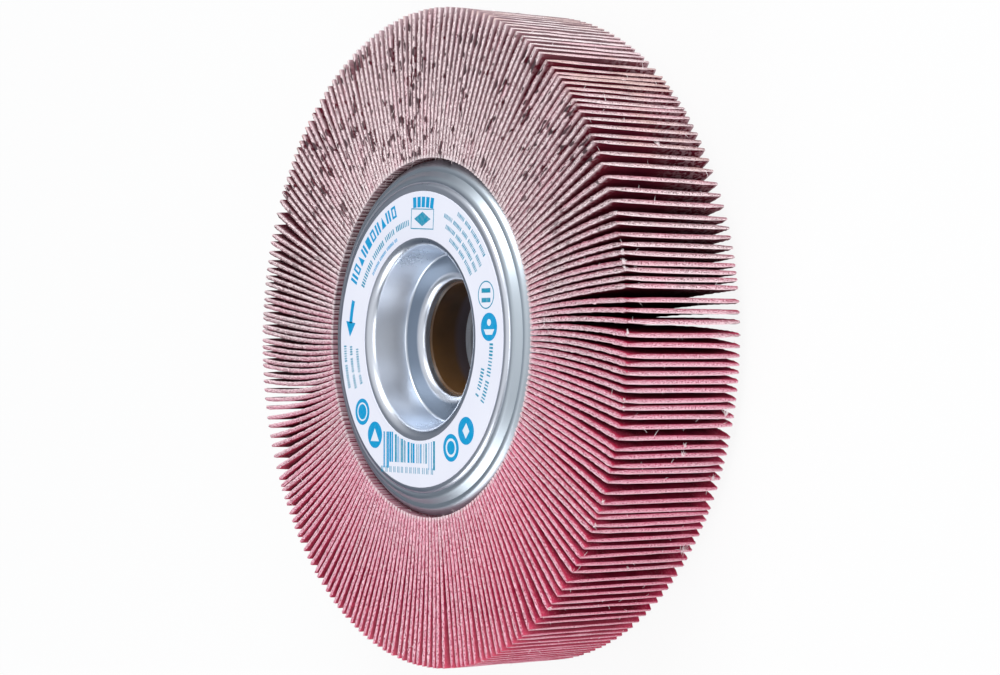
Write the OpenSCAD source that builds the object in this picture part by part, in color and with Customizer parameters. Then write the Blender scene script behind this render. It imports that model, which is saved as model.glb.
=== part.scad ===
// Flap wheel: 216 abrasive cloth flaps standing radially round a cast core, held between two
// pressed steel flanges. The axis is Z, the labelled flange faces +Z, the origin is on the axis
// half way through the width.

/* [Wheel] */
// Diameter over the flap tips
wheel_d = 150; // [140:1:180]
// Width of the flaps, measured along the axis
wheel_w = 30; // [26:0.5:50]
// Diameter of the bore
bore_d = 25.4; // [20:0.1:26]

/* [Flaps] */
// Number of flaps
flap_count = 216; // [180:1:220]
// Thickness of the abrasive cloth
flap_t = 1; // [0.8:0.01:1.02]
// Air between neighbouring flaps at their roots
root_gap = 0.035; // [0.02:0.005:0.06]
// How deep the side notches reach in from the flap sides
notch_depth = 3; // [2:0.1:4]
// Air between the flange rim and the notch, measured along the radius
notch_air = 0.5; // [0.2:0.1:1]
// How far the tips trail behind the roots, in degrees
lean = 1.55; // [0.5:0.05:2.5]
// Curve of the flaps: 1 is straight and higher values bend more towards the tip
flap_curve = 1.7; // [1:0.1:2.5]
// Straight stretches that make up the curve
flap_steps = 2; // [2:1:6]
// How far the flaps stay straight outside the notch
straight_root = 1.5; // [0.5:0.1:6]
// Uneven set of single flaps at the tip, in degrees
unevenness = 0.24; // [0:0.02:0.28]

/* [Flanges] */
// Diameter over the flange rim
flange_d = 81; // [79:0.5:84]
// Thickness of the steel sheet
sheet_t = 1; // [0.6:0.05:1.1]
// How far the label seat stands out from the flap sides
seat_proud = 1.85; // [1.2:0.05:3]
// Width of the sloping rim
rim_w = 1.9; // [1.4:0.1:2.4]
// Width of the flat between the bead and the rim
foot_w = 0.9; // [0.6:0.1:1]
// Distance from the foot of the bead in to its crest
bead_fall_w = 1.5; // [1.3:0.1:1.7]
// Distance from the crest of the bead in to the label seat
bead_rise_w = 1.45; // [1.3:0.05:1.6]
// Diameter where the label seat turns down into the recess, as a share of the seat's own
recess_share = 0.6187; // [0.6:0.0001:0.624]
// Distance from there in to the foot of the recess wall
recess_slope_w = 1.6; // [1.3:0.05:2]
// Radius of the shoulder between the label seat and the recess
shoulder_r = 1.5; // [1.2:0.1:1.6]
// Depth of the groove beside the label seat
groove_depth = 0.75; // [0.4:0.05:1]
// How far the crest of the bead lies below the label seat
bead_drop = 0.5; // [0.3:0.05:0.7]
// How far the flat lies below the label seat
foot_drop = 2.15; // [1.9:0.05:2.4]

/* [Hub] */
// Width over the two clamping rings
hub_w = 15; // [13:0.5:18]
// Inner diameter of the collar turned in at the bore
collar_id = 26.4; // [26.2:0.1:27]
// Bend radius of the sheet at the collar and at the foot of the recess
collar_bend = 1.1; // [0.8:0.1:1.4]
// Wall thickness of the sleeve in the bore
sleeve_wall = 2.3; // [1.8:0.1:2.6]
// Length of the sleeve
sleeve_l = 10; // [8:0.1:10.4]
// Bevel at the mouths of the sleeve
sleeve_bevel = 0.3; // [0.1:0.05:0.4]
// How far the lip of the core that grips the flap roots ends inside the crest of the bead
lip_inset = 0.2; // [0:0.1:1]

/* [Label] */
// Bare metal outside the paper ring, on the label seat
label_margin = 1.05; // [0.9:0.05:1.6]
// Bare metal inside the paper ring, from the edge of the recess
label_hole_margin = 1.6; // [1.5:0.1:2.5]
// Thickness of the paper
label_t = 0.1; // [0.06:0.01:0.3]
// How far off centre the ring was stuck on
label_shift = 0.4; // [0:0.05:0.4]

/* [Hidden] */
$fn = 180;

// Clearance between pieces that are cast or pressed together
fit = 0.05;
// Smallest bend radius in the pressed rim
rim_bend = 0.6;
// Bend radius of the bead crest
bead_bend = 0.9;
// Steps in each bend
bend_steps = 5;

flap_groups = 36;
flap_pitch = 360 / flap_count;
wheel_r = wheel_d / 2;
root_r = (flap_t + root_gap) * flap_count / (2 * PI);
notch_r = flange_d / 2 + notch_air;
notch_z = wheel_w / 2 - notch_depth;
bend_r = notch_r + straight_root;
core_r = root_r - fit;

seat_top = wheel_w / 2 + seat_proud;
seat_z = seat_top - sheet_t / 2;
ring_z = hub_w / 2 - sheet_t / 2;
collar_r = (collar_id + sheet_t) / 2;
collar_z = sleeve_l / 2 + fit;
bore_r = bore_d / 2;
sleeve_r = bore_r + sleeve_wall;
// Diameters of the pressed steps, from the rim inwards to the foot of the recess
foot_d = flange_d - 2 * (rim_w + foot_w);
bead_d = foot_d - 2 * bead_fall_w;
seat_od = bead_d - 2 * bead_rise_w;
seat_id = seat_od * recess_share;
ring_od = seat_id - 2 * recess_slope_w;
lip_d = bead_d - 2 * lip_inset;
label_od = seat_od - 2 * label_margin;
label_id = seat_id + 2 * label_hole_margin;
// The cut rim runs down at 45 degrees, so its lower corner lies this far from its middle
rim_corner = sheet_t / 2 * sin(45);

// Corners of the middle of the sheet, from the bore to the rim: radius, height and bend radius
flange_corners = [
    [collar_r, collar_z, 0],
    [collar_r, ring_z, min(collar_bend, ring_z - collar_z)],
    [ring_od / 2, ring_z, collar_bend],
    [seat_id / 2, seat_z, shoulder_r],
    [seat_od / 2, seat_z, rim_bend],
    [seat_od / 2 + groove_depth / 2, seat_z - groove_depth, rim_bend],
    [bead_d / 2, seat_z - bead_drop, bead_bend],
    [foot_d / 2, seat_z - foot_drop, rim_bend],
    [foot_d / 2 + foot_w, seat_z - foot_drop, rim_bend],
    [flange_d / 2 - rim_corner, notch_z + rim_corner + fit, 0]
];

// How the pack is combed: angle round the wheel, from -180 to 180, and how far the tips there lie
// ahead of the usual lean, both in degrees. A steep rise is a parting between two flaps.
combing = [
    [-180, 0],
    [-173, -0.3],
    [-171, 0.9],
    [-166, 0],
    [-148, -0.4],
    [-145, 0.6],
    [-138, 1.8],
    [-127, 2.8],
    [-118, 1.4],
    [-114, 1.7],
    [-105, 0.6],
    [-103, 1.1],
    [-95, -0.4],
    [-88, -1.2],
    [-80.5, 0],
    [-77, -1.3],
    [-68, -1.9],
    [-58, 1.2],
    [-52, 1.2],
    [-37, -1.8],
    [-35, -0.5],
    [-24, -1.2],
    [-10, -0.3],
    [40, -0.8],
    [42, 0.1],
    [65, -0.3],
    [67, 1.4],
    [74, 2],
    [81, 1.3],
    [102, -3.3],
    [113, -2.4],
    [119, 0],
    [122, -1],
    [132, -1],
    [148, 0.1],
    [180, 0]
];

FLAP_NODES = [for (group = [1 : flap_groups]) str("flaps_", group < 10 ? "0" : "", group)];

function unit(v) = v / norm(v);
function left_of(v) = [-v[1], v[0]];
function flat(corner) = [corner[0], corner[1]];

// Points of one bend between the stretches a-b and b-c, each with the direction to its left
function bend(a, b, c, radius) =
    let (
        u = unit(a - b),
        v = unit(c - b),
        half = acos(u * v) / 2,
        centre = b + unit(u + v) * radius / sin(half),
        turn = sign(cross(b - a, c - b)),
        start = left_of(unit(b - a)),
        start_angle = atan2(start[1], start[0])
    )
    [
        for (k = [0 : bend_steps])
            let (
                angle = start_angle + turn * (180 - 2 * half) * k / bend_steps,
                normal = [cos(angle), sin(angle)]
            )
            [centre - turn * radius * normal, normal]
    ];

// The whole run of the sheet as points with the direction to their left
function sheet_run(corners) =
    let (
        last = len(corners) - 1,
        first_way = unit(flat(corners[1]) - flat(corners[0])),
        last_way = unit(flat(corners[last]) - flat(corners[last - 1]))
    )
    concat(
        [[flat(corners[0]), left_of(first_way)]],
        [
            for (i = [1 : last - 1])
                each bend(flat(corners[i - 1]), flat(corners[i]), flat(corners[i + 1]), corners[i][2])
        ],
        [[flat(corners[last]), left_of(last_way)]]
    );

// The run moved sideways: to its left, which is the outside, for a positive distance
function beside(run, distance) = [for (step = run) step[0] + step[1] * distance];
function backwards(points) = [for (i = [len(points) - 1 : -1 : 0]) points[i]];

function flap_angle(i) = flap_pitch * (i + 0.5) - 180;

// Angle by which the tip of flap i lies ahead of its root, negative where it trails
function tip_turn(i) =
    lookup(flap_angle(i), combing) - lean + unevenness * sin(137.5 * i) * cos(71 * i);

// Sideways drift of a flap at a distance from the axis, for its drift at the tip
function drift(x, at_tip) = at_tip * pow((x - bend_r) / (wheel_r - bend_r), flap_curve);

// One edge of the flap seen along the axis, from the root to the trimmed tip
function flap_edge(side, at_tip) =
    let (tip_y = at_tip + side * flap_t / 2)
    concat(
        [[root_r, side * flap_t / 2]],
        [
            for (k = [0 : flap_steps - 1])
                let (x = bend_r + (wheel_r - bend_r) * k / flap_steps)
                [x, drift(x, at_tip) + side * flap_t / 2]
        ],
        [[sqrt(wheel_r * wheel_r - tip_y * tip_y), tip_y]]
    );

// Room for the flange rims, cut from both sides of a flap's root
module root_notches() {
    cut_l = notch_r - root_r + flap_t;
    for (z = [notch_z, -notch_z - 2 * notch_depth])
        translate([notch_r - cut_l, -flap_t, z])
            cube([cut_l, 2 * flap_t, 2 * notch_depth]);
}

module flap(i) {
    at_tip = wheel_r * sin(tip_turn(i));
    outline = concat(flap_edge(-1, at_tip), backwards(flap_edge(1, at_tip)));
    rotate([0, 0, flap_angle(i)])
        difference() {
            translate([0, 0, -wheel_w / 2])
                linear_extrude(height = wheel_w)
                    polygon(outline);
            root_notches();
        }
}

// One sector of the pack of flaps
module flap_group(group) {
    first = ceil(group * flap_count / flap_groups);
    last = ceil((group + 1) * flap_count / flap_groups) - 1;
    color([0.72, 0.5, 0.52])
        for (i = [first : last])
            flap(i);
}

// Pressed sheet flange on the labelled side
module flange() {
    run = sheet_run(flange_corners);
    rotate_extrude()
        polygon(concat(beside(run, sheet_t / 2), backwards(beside(run, -sheet_t / 2))));
}

module front_flange() {
    color([0.75, 0.77, 0.8])
        flange();
}

module back_flange() {
    color([0.7, 0.72, 0.76])
        mirror([0, 0, 1])
            flange();
}

// Brown sleeve between the two collars
module core_sleeve() {
    half = sleeve_l / 2;
    color([0.36, 0.22, 0.12])
        rotate_extrude()
            polygon([
                [bore_r, -half + sleeve_bevel],
                [bore_r + sleeve_bevel, -half],
                [sleeve_r, -half],
                [sleeve_r, half],
                [bore_r + sleeve_bevel, half],
                [bore_r, half - sleeve_bevel]
            ]);
}

// Resin cast between the flanges, with a lip on each side over the notched flap roots
module cast_core() {
    inner_r = max(sleeve_r, collar_r + sheet_t / 2) + fit;
    groove_r = (seat_od + groove_depth) / 2;
    lip_top = seat_z - groove_depth - sheet_t / 2 - fit;
    under = beside(sheet_run(flange_corners), -sheet_t / 2 - fit);
    edge = concat(
        [[inner_r, ring_z - sheet_t / 2 - fit]],
        [for (p = under) if (p[0] > inner_r && p[0] < groove_r) p],
        [
            [groove_r, lip_top],
            [lip_d / 2, lip_top],
            [lip_d / 2, notch_z + fit],
            [core_r, notch_z + fit]
        ]
    );
    mirrored = [for (p = backwards(edge)) [p[0], -p[1]]];
    color([0.5, 0.36, 0.2])
        rotate_extrude()
            polygon(concat(edge, mirrored));
}

// Printed paper ring on the front flange
module label() {
    color([0.93, 0.94, 0.97])
        translate([-label_shift, 0, seat_top])
            difference() {
                cylinder(d = label_od, h = label_t);
                translate([0, 0, -label_t])
                    cylinder(d = label_id, h = 3 * label_t);
            }
}

front_flange();
back_flange();
core_sleeve();
cast_core();
label();
for (group = [0 : flap_groups - 1])
    flap_group(group);
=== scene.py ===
# Looks of the flap wheel: the axis is Z, the labelled flange faces +Z, the top of the label is +X.

import math

import bpy
import numpy as np
from mathutils import Matrix, Vector


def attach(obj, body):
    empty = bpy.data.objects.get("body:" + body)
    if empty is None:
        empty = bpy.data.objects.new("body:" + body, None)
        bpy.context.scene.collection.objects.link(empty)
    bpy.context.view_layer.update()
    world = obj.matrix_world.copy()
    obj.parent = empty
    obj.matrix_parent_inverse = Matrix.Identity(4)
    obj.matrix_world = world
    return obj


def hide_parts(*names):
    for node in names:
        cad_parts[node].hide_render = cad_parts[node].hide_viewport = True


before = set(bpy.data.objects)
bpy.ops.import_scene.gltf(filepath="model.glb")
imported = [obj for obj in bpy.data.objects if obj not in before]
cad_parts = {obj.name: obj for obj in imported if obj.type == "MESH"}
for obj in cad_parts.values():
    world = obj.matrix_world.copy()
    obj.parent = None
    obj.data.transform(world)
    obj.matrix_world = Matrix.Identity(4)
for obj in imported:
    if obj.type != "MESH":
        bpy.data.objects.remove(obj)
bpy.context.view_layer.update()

MM = 0.001
BODY = "root"

# Driving sizes of the wheel, in millimetres and degrees
WHEEL_R = 75.0
HALF_W = 15.0
FLAP_COUNT = 216
FLAP_GROUPS = 36
FLAP_T = 1.0
ROOT_GAP = 0.035
NOTCH_DEPTH = 3.0
NOTCH_AIR = 0.5
STRAIGHT_ROOT = 1.5
LEAN = 1.55
FLAP_CURVE = 1.7
UNEVENNESS = 0.24
# Steps, from flap to flap, of the two waves that make up the unevenness
FIRST_WAVE = 137.5
SECOND_WAVE = 71
# Clearance between pieces that are pressed together
FIT = 0.05
# Angle round the wheel and how far the tips there lie ahead of the usual lean
COMBING = [
    (-180, 0), (-173, -0.3), (-171, 0.9), (-166, 0), (-148, -0.4), (-145, 0.6), (-138, 1.8),
    (-127, 2.8), (-118, 1.4), (-114, 1.7), (-105, 0.6), (-103, 1.1), (-95, -0.4), (-88, -1.2),
    (-80.5, 0), (-77, -1.3), (-68, -1.9), (-58, 1.2), (-52, 1.2), (-37, -1.8), (-35, -0.5),
    (-24, -1.2), (-10, -0.3), (40, -0.8), (42, 0.1), (65, -0.3), (67, 1.4), (74, 2), (81, 1.3),
    (102, -3.3), (113, -2.4), (119, 0), (122, -1), (132, -1), (148, 0.1), (180, 0),
]

SHEET_T = 1.0
SEAT_TOP = 16.85
RING_Z = 7.0
COLLAR_R = 13.7
# Widths of the pressed steps and their radii, from the rim inwards
RIM_W = 1.9
FOOT_W = 0.9
BEAD_FALL_W = 1.5
BEAD_RISE_W = 1.45
RECESS_SHARE = 0.6187
RECESS_SLOPE_W = 1.6
FLANGE_R = 40.5
FOOT_R = FLANGE_R - RIM_W - FOOT_W
BEAD_R = FOOT_R - BEAD_FALL_W
SEAT_R = BEAD_R - BEAD_RISE_W
RECESS_R = SEAT_R * RECESS_SHARE
RING_R = RECESS_R - RECESS_SLOPE_W
# Drops below the label seat, and bend radii
GROOVE_DEPTH = 0.75
BEAD_DROP = 0.5
FOOT_DROP = 2.15
COLLAR_BEND = 1.1
SHOULDER_BEND = 1.5
BEAD_BEND = 0.9
RIM_BEND = 0.6

LABEL_T = 0.1
LABEL_MARGIN = 1.05
LABEL_HOLE_MARGIN = 1.6
LABEL_R = SEAT_R - LABEL_MARGIN
LABEL_HOLE_R = RECESS_R + LABEL_HOLE_MARGIN
LABEL_SHIFT = 0.4
BORE_R = 12.7
SLEEVE_R = 15.0
SLEEVE_HALF = 5.0
SLEEVE_BEVEL = 0.3

NOTCH_R = FLANGE_R + NOTCH_AIR
NOTCH_Z = HALF_W - NOTCH_DEPTH
ROOT_R = (FLAP_T + ROOT_GAP) * FLAP_COUNT / (2 * math.pi)
BEND_R = NOTCH_R + STRAIGHT_ROOT
PITCH = 360 / FLAP_COUNT


# Shader helpers


class Nodes:
    """A material's node tree with short calls for its nodes; a scale counts grains to the metre."""

    def __init__(self, name):
        self.material = bpy.data.materials.new(name)
        self.material.use_nodes = True
        self.tree = self.material.node_tree
        self.tree.nodes.clear()
        self.output = self.tree.nodes.new("ShaderNodeOutputMaterial")
        self.coordinates = self.tree.nodes.new("ShaderNodeTexCoord").outputs["Object"]

    def link(self, source, socket):
        self.tree.links.new(source, socket)

    def put(self, socket, value):
        if isinstance(value, bpy.types.NodeSocket):
            self.link(value, socket)
        else:
            socket.default_value = value

    def node(self, kind, **settings):
        made = self.tree.nodes.new(kind)
        for name, value in settings.items():
            setattr(made, name, value)
        return made

    def noise(self, scale, detail=2.0, roughness=0.5, where=None):
        made = self.node("ShaderNodeTexNoise")
        self.link(where or self.coordinates, made.inputs["Vector"])
        made.inputs["Scale"].default_value = scale
        made.inputs["Detail"].default_value = detail
        made.inputs["Roughness"].default_value = roughness
        return made.outputs["Fac"]

    def cells(self, scale, randomness=1.0):
        made = self.node("ShaderNodeTexVoronoi")
        self.link(self.coordinates, made.inputs["Vector"])
        made.inputs["Scale"].default_value = scale
        made.inputs["Randomness"].default_value = randomness
        return made

    def math(self, operation, a, b=0.0, clamp=False):
        made = self.node("ShaderNodeMath", operation=operation, use_clamp=clamp)
        self.put(made.inputs[0], a)
        self.put(made.inputs[1], b)
        return made.outputs[0]

    def plus(self, a, b):
        return self.math("ADD", a, b)

    def times(self, a, b):
        return self.math("MULTIPLY", a, b)

    def rest(self, share):
        """What the share leaves of one."""
        return self.math("SUBTRACT", 1.0, share)

    def ramp(self, value, low, high, start=0.0, end=1.0):
        made = self.node("ShaderNodeMapRange", clamp=True)
        self.link(value, made.inputs["Value"])
        made.inputs["From Min"].default_value = low
        made.inputs["From Max"].default_value = high
        made.inputs["To Min"].default_value = start
        made.inputs["To Max"].default_value = end
        return made.outputs["Result"]

    def reach(self, distance, low, high, start=0.0, end=1.0):
        """A ramp along a distance, between two places in millimetres."""
        return self.ramp(distance, low * MM, high * MM, start, end)

    def mix(self, factor, a, b):
        made = self.node("ShaderNodeMix", data_type="RGBA")
        self.put(made.inputs[0], factor)
        for socket, value in ((made.inputs[6], a), (made.inputs[7], b)):
            if isinstance(value, tuple):
                socket.default_value = (*value, 1.0)
            else:
                self.link(value, socket)
        return made.outputs[2]

    def bump(self, height, strength, depth):
        """A normal from a relief whose depth is in millimetres."""
        made = self.node("ShaderNodeBump")
        self.link(height, made.inputs["Height"])
        made.inputs["Strength"].default_value = strength
        made.inputs["Distance"].default_value = depth * MM
        return made.outputs["Normal"]

    def stretched(self, vector, factors):
        made = self.node("ShaderNodeVectorMath", operation="MULTIPLY")
        self.link(vector, made.inputs[0])
        made.inputs[1].default_value = factors
        return made.outputs[0]

    def part_of(self, vector, name):
        made = self.node("ShaderNodeSeparateXYZ")
        self.link(vector, made.inputs[0])
        return made.outputs[name]

    def axis(self, name):
        return self.part_of(self.coordinates, name)

    def axis_distance(self):
        """Distance from the wheel's axis."""
        made = self.node("ShaderNodeVectorMath", operation="LENGTH")
        self.link(self.stretched(self.coordinates, (1.0, 1.0, 0.0)), made.inputs[0])
        return made.outputs["Value"]

    def level(self):
        """Distance from the wheel's middle plane, towards either face."""
        return self.math("ABSOLUTE", self.axis("Z"))

    def cloth(self):
        """Place in a flap's cut edge: distance out, share across from backing to grit, flap."""
        made = self.node("ShaderNodeAttribute", attribute_type="GEOMETRY", attribute_name="cloth")
        return made.outputs["Vector"]

    def chance(self, value):
        """A number from 0 to 1 that differs from flap to flap."""
        made = self.node("ShaderNodeTexWhiteNoise", noise_dimensions="1D")
        self.link(value, made.inputs["W"])
        return made.outputs["Value"]

    def surface(self, color, roughness, metallic=0.0, normal=None, specular=0.5):
        shader = self.node("ShaderNodeBsdfPrincipled")
        self.link(color, shader.inputs["Base Color"])
        self.put(shader.inputs["Roughness"], roughness)
        shader.inputs["Metallic"].default_value = metallic
        shader.inputs["Specular IOR Level"].default_value = specular
        if normal is not None:
            self.link(normal, shader.inputs["Normal"])
        self.link(shader.outputs[0], self.output.inputs["Surface"])
        return self.material


# Materials


def painted_gap_shade(n, cloth):
    """Painted shade: short dark openings in the upper flaps, between the pale strands of the cut edge.
    """
    openings = n.noise(1.0, 1.0, where=n.stretched(cloth, (0.30, 0.50, 43.0)))
    openings = n.plus(openings, n.ramp(n.part_of(cloth, "Y"), -1.0, 1.0, -0.035, 0.045))
    patches = n.ramp(n.noise(75.0, 2.0), 0.44, 0.56, -0.075, 0.035)
    place = n.ramp(n.plus(openings, patches), 0.575, 0.605)
    return n.times(place, n.reach(n.axis("X"), 8, 36, 0.0, 0.95))


def pale_top_tips(n):
    """Paler colour on both sides of the uppermost flaps, just inside the trimmed edge."""
    tip = n.reach(n.axis_distance(), WHEEL_R - 4, WHEEL_R - 0.8, 0.0, 0.65)
    return n.times(tip, n.reach(n.axis("X"), 58, 71))


def pink_share(n, flap):
    """Greyish at the top and pink at the bottom, unevenly from flap to flap."""
    low = n.plus(n.axis("X"), n.times(n.axis("Y"), 0.15))
    share = n.plus(n.reach(low, -30, 28, 1.0, 0.0), n.ramp(flap, 0.0, 1.0, -0.2, 0.2))
    cloud = n.ramp(n.noise(90.0, 2.0), 0.35, 0.65, -0.2, 0.2)
    return n.math("ADD", share, cloud, clamp=True)


def strand_color(n, pink, cloth, side, ends, specks):
    """Pale strands and specks of resin on a darker ground, with a pale welt at the backing."""
    lines = n.noise(1.0, 2.0, 0.6, where=n.stretched(cloth, (0.75, 2.6, 40.0)))
    light = n.plus(n.times(lines, 0.6), n.times(ends, 0.4))
    light = n.plus(light, n.ramp(side, -1.0, 1.0, 0.06, -0.06))
    ground = n.mix(pink, (0.31, 0.19, 0.20), (0.80, 0.30, 0.40))
    strand = n.mix(pink, (0.97, 0.80, 0.81), (1.0, 0.64, 0.74))
    color = n.mix(n.ramp(light, 0.41, 0.53), ground, strand)
    resin = n.mix(pink, (0.085, 0.028, 0.040), (0.30, 0.030, 0.075))
    color = n.mix(n.ramp(specks, 0.55, 0.60, 0.0, 0.95), color, resin)
    welt = n.times(n.ramp(side, -0.30, -0.75, 0.0, 0.8), n.ramp(ends, 0.36, 0.58, 0.45, 1.0))
    return n.mix(welt, color, n.mix(pink, (0.96, 0.83, 0.84), (1.0, 0.71, 0.75)))


def coated_color(n, color, pink, side, specks):
    """Ragged coat along the grit side, seen most where the gaps between the flaps are open."""
    coat = n.mix(pink, (0.17, 0.05, 0.068), (0.48, 0.045, 0.105))
    right = n.reach(n.axis("Y"), -30, 0, 0.75, 0.1)
    upper = n.reach(n.axis("X"), -20, 10, 0.1, 0.75)
    ragged = n.plus(side, n.ramp(specks, 0.35, 0.65, -0.35, 0.35))
    share = n.times(n.ramp(ragged, 0.0, 0.9), n.math("MAXIMUM", right, upper))
    return n.mix(share, color, coat)


def trimmed_color(n, color, pink, trimmed):
    """Tips of the flaps: nearly white at the top, crimson at the bottom, with warm patches."""
    up = n.axis("X")
    pale = n.mix(n.reach(up, 45, 66), (0.62, 0.36, 0.41), (0.98, 0.87, 0.88))
    share = n.plus(n.reach(up, 45, 68, 0.1, 0.7), n.reach(up, -45, -15, 0.25, 0.0))
    color = n.mix(n.times(trimmed, share), color, n.mix(pink, pale, (0.70, 0.11, 0.20)))
    warm = n.times(n.reach(up, 18, 36, 0.0, 0.4), n.ramp(n.noise(65.0, 2.0), 0.48, 0.62))
    return n.mix(n.times(warm, trimmed), color, (0.62, 0.37, 0.29))


def root_color(n, color, out):
    """Pale corners of the flaps beside the flange, and the shaded cut of the notch under them."""
    level = n.level()
    corner = n.reach(out, NOTCH_R + 0.2, NOTCH_R + 1, 0.7, 0.0)
    color = n.mix(n.times(corner, n.reach(level, HALF_W - 0.4, HALF_W - 0.1)), color, (0.80, 0.70, 0.71))
    notch = n.reach(out, NOTCH_R + 0.03, NOTCH_R + 0.15, 0.40, 0.0)
    return n.mix(n.times(notch, n.reach(level, HALF_W - 0.1, HALF_W - 0.5)), color, (0.11, 0.035, 0.042))


def cut_edge_material():
    """Cut through the cloth: pale strands on the backing side, crimson resin on the grit side."""
    n = Nodes("cut_edge")
    cloth = n.cloth()
    side = n.part_of(cloth, "Y")
    flap = n.chance(n.part_of(cloth, "Z"))
    pink = pink_share(n, flap)
    ends = n.noise(1.0, 1.0, 0.6, where=n.stretched(cloth, (3.0, 3.4, 47.0)))
    specks = n.noise(1.0, 1.0, 0.6, where=n.stretched(cloth, (2.3, 2.4, 29.0)))
    out = n.axis_distance()
    trimmed = n.reach(out, WHEEL_R - 1.5, WHEEL_R - 0.3)
    color = strand_color(n, pink, cloth, side, ends, specks)
    color = coated_color(n, color, pink, side, specks)
    color = trimmed_color(n, color, pink, trimmed)
    # Painted shade in the openings between the strands, weaker on the trimmed tips.
    stains_and_gap_shade = n.times(painted_gap_shade(n, cloth), n.rest(n.times(trimmed, 0.75)))
    color = n.mix(stains_and_gap_shade, color, (0.055, 0.028, 0.034))
    shade = n.ramp(flap, 0.0, 1.0, 0.0, 0.15)
    color = n.mix(shade, color, n.mix(pink, (0.16, 0.09, 0.10), (0.40, 0.09, 0.14)))
    color = root_color(n, color, out)
    relief = n.math("SUBTRACT", ends, specks)
    return n.surface(color, 0.9, normal=n.bump(relief, 0.8, 0.15), specular=0.15)


def grit_material():
    """Grain side: crimson, darkened deep inside the pack with painted shade, brightened at the bottom of
    the wheel with painted light, and with pale crystals as painted sparkle near the faces.
    """
    n = Nodes("grit_side")
    grains = n.cells(5200.0)
    streaks = n.ramp(n.noise(240.0, 3.0), 0.35, 0.65)
    # The darker colour is painted shade deep between the flaps; the brighter one is the grain side near
    # the faces.
    deep = n.mix(streaks, (0.11, 0.002, 0.012), (0.20, 0.006, 0.026))
    worn_and_lit = n.mix(streaks, (0.46, 0.016, 0.062), (0.62, 0.055, 0.125))
    level = n.plus(n.level(), n.times(n.noise(400.0, 2.0), 2 * MM))
    color = n.mix(n.reach(level, 10.5, 16.2), deep, worn_and_lit)
    # Painted light: brighter crimson at the very bottom of the wheel, where the grain side is lit fully.
    color = n.mix(n.reach(n.axis("X"), -70, -60, 0.75, 0.0), color, (0.86, 0.13, 0.21))
    # Pale crystals as painted sparkle, fading into the painted shade deeper in.
    crystals = n.ramp(grains.outputs["Color"], 0.70, 0.95)
    sparkle = n.times(crystals, n.reach(level, 4, 15.8, 0.0, 0.35))
    color = n.mix(sparkle, color, (0.92, 0.40, 0.42))
    color = n.mix(pale_top_tips(n), color, (0.66, 0.48, 0.51))
    relief = n.rest(grains.outputs["Distance"])
    return n.surface(color, 0.8, normal=n.bump(relief, 0.7, 0.1), specular=0.1)


def backing_material():
    """Cloth side: dark maroon weave, its darkness painted shade for deep between the flaps; paler beside
    the cut edges with painted light and dusting, and mottled paler near the tips on the back half.
    """
    n = Nodes("backing_side")
    weave = n.cells(2200.0, 0.35)
    patches = n.ramp(n.noise(120.0, 3.0), 0.3, 0.7)
    # The dark maroon is painted shade: deep between the flaps little light reaches the backing.
    body = n.mix(patches, (0.105, 0.006, 0.020), (0.185, 0.020, 0.038))
    hollows = n.ramp(weave.outputs["Distance"], 0.3, 0.7, 0.0, 0.5)
    body = n.mix(hollows, body, (0.060, 0.004, 0.012))
    level = n.level()
    near_tip = n.reach(n.axis_distance(), WHEEL_R - 15, WHEEL_R - 3)
    # Paler towards the back face near the tips, and beside the cut edges, where the paleness is painted
    # light with some dusting.
    dust_and_edge_light = n.times(n.reach(n.axis("Z"), 0, -11, 0.0, 0.75), near_tip)
    dust_and_edge_light = n.math("MAXIMUM", dust_and_edge_light, n.reach(level, HALF_W - 2.2, HALF_W, 0.0, 0.55))
    pale_dusting_and_light = n.times(dust_and_edge_light, n.ramp(n.noise(1100.0, 2.0), 0.44, 0.58))
    color = n.mix(pale_dusting_and_light, body, (0.46, 0.31, 0.34))
    # Pale fuzz along the edges of the upper flaps only: fuzz, with painted light from above on that
    # side, broken by the painted gap shade.
    rim = n.times(n.reach(level, HALF_W - 0.9, HALF_W - 0.2), n.rest(painted_gap_shade(n, n.cloth())))
    color = n.mix(n.times(rim, n.reach(n.axis("X"), 5, 35)), color, (0.60, 0.46, 0.49))
    color = n.mix(pale_top_tips(n), color, (0.66, 0.50, 0.53))
    relief = n.rest(weave.outputs["Distance"])
    return n.surface(color, 0.85, normal=n.bump(relief, 0.5, 0.15), specular=0.1)


def fibre_material():
    """Loose threads at the cut edges."""
    n = Nodes("loose_fibre")
    color = n.mix(n.noise(900.0), (0.96, 0.80, 0.83), (0.98, 0.93, 0.92))
    return n.surface(color, 0.8)


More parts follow.
